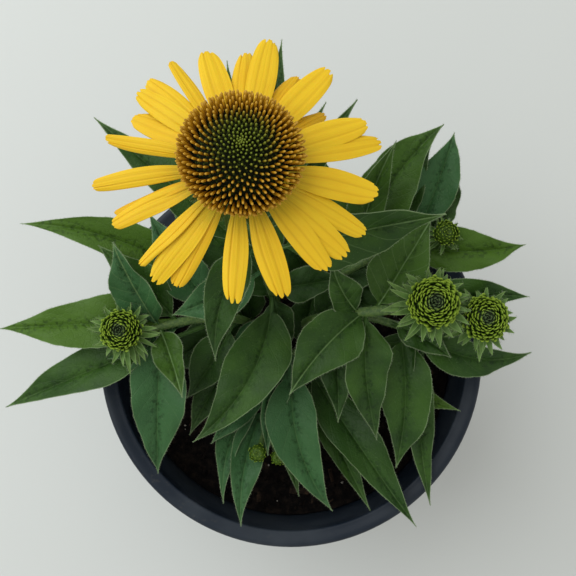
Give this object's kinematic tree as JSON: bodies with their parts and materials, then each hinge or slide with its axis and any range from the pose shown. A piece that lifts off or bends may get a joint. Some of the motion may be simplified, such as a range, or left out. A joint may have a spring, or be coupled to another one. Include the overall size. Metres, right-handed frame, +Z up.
{
  "type": "potted coneflower plant",
  "caption": "Coneflower in a round black nursery pot, with one open yellow bloom on a tall stem, green buds, lance-shaped leaves and potting soil.",
  "frame": {"origin": "centre of the pot's flat underside", "axes": "+Z up, +X to the right and +Y away from the viewer as the picture is framed"},
  "size_m": [0.2532, 0.2212, 0.3103],
  "materials": {
    "pot_plastic": "semi-gloss black moulded plastic",
    "soil_earth": "rough dark peat and bark",
    "leaf_green": "matt downy leaf",
    "petal_yellow": "satin petal",
    "cone_bronze": "satin bristles, dark green below and orange at the tips",
    "floret_green": "matt green florets"
  },
  "bodies": {
    "root": {"nursery_pot": "pot_plastic", "potting_soil": "soil_earth", "flower_cone": "cone_bronze", "flower_ray_petals": "petal_yellow", "near_bud_florets": "floret_green", "far_bud_florets": "floret_green", "left_bud_florets": "floret_green", "upper_bud_florets": "floret_green", "flower_stem": "leaf_green", "twin_bud_stem": "leaf_green", "left_bud_stem": "leaf_green", "upper_bud_stem": "leaf_green", "front_left_shoot": "leaf_green", "front_right_shoot": "leaf_green"}
  },
  "joints": []
}
